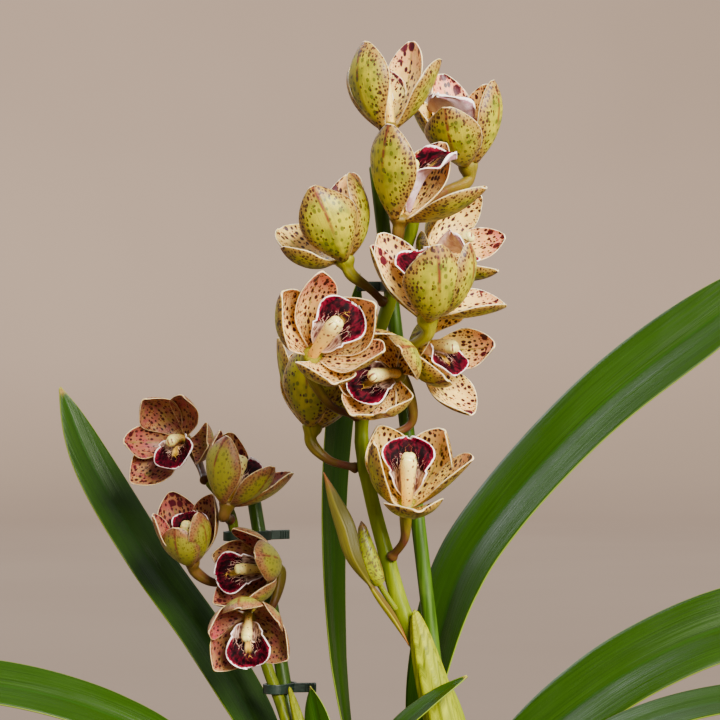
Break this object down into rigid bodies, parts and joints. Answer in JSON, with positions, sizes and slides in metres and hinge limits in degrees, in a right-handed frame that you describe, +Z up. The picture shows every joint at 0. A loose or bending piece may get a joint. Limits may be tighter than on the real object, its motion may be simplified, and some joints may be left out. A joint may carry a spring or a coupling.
{
  "type": "potted orchid",
  "caption": "Potted orchid: staked flower spikes of spotted yellow-green blooms with dark red lips, over strap leaves and pseudobulbs in potting bark, in a plain round pot.",
  "frame": {"origin": "middle of the pot's flat base, on the surface it stands on", "axes": "+Z up, +X to the right and +Y away from the viewer as the plant is pictured"},
  "size_m": [0.6315, 0.451, 0.6169],
  "materials": {
    "bloom": "satin petals, yellow-green with maroon spots",
    "left_bloom": "satin petals, brown-green with red spots",
    "lip": "velvety dark maroon with a white wavy edge",
    "leaf": "glossy deep green with fine parallel veins",
    "stem": "satin yellow-green",
    "bract": "dry yellow-green turning brown",
    "stake": "smooth mid green",
    "clip": "smooth green-black",
    "bulb": "ribbed green under papery sheaths",
    "pot": "plain matt brown",
    "bark": "rough loose bark chips"
  },
  "bodies": {
    "root": {"bark": "bark", "bloom_left_lower": "left_bloom", "bloom_left_lowest": "left_bloom", "bloom_left_middle": "left_bloom", "bloom_left_top": "left_bloom", "bloom_left_upper": "left_bloom", "bloom_lower_front": "bloom", "bloom_lower_left": "bloom", "bloom_lowest": "bloom", "bloom_middle_back": "bloom", "bloom_middle_front": "bloom", "bloom_middle_left": "bloom", "bloom_middle_right": "bloom", "bloom_top": "bloom", "bloom_upper_front": "bloom", "bloom_upper_left": "bloom", "bloom_upper_right": "bloom", "bract": "bract", "bud": "bloom", "bulb_back": "bulb", "bulb_front": "bulb", "bulb_left": "bulb", "clip_left_lower": "clip", "clip_left_upper": "clip", "clip_main": "clip", "leaf_back": "leaf", "leaf_centre_tall": "leaf", "leaf_dark_tip": "leaf", "leaf_left_back": "leaf", "leaf_left_front": "leaf", "leaf_left_high": "leaf", "leaf_left_low": "leaf", "leaf_right_front": "leaf", "leaf_right_high": "leaf", "leaf_right_low": "leaf", "leaf_right_middle": "leaf", "leaf_young_tip": "leaf", "lip_left_lower": "lip", "lip_left_lowest": "lip", "lip_left_middle": "lip", "lip_left_top": "lip", "lip_left_upper": "lip", "lip_lower_front": "lip", "lip_lower_left": "lip", "lip_lowest": "lip", "lip_middle_back": "lip", "lip_middle_front": "lip", "lip_middle_left": "lip", "lip_middle_right": "lip", "lip_top": "lip", "lip_upper_front": "lip", "lip_upper_left": "lip", "lip_upper_right": "lip", "pot": "pot", "spike_left": "stem", "spike_main": "stem", "stake_left": "stake", "stake_main": "stake"}
  },
  "joints": []
}
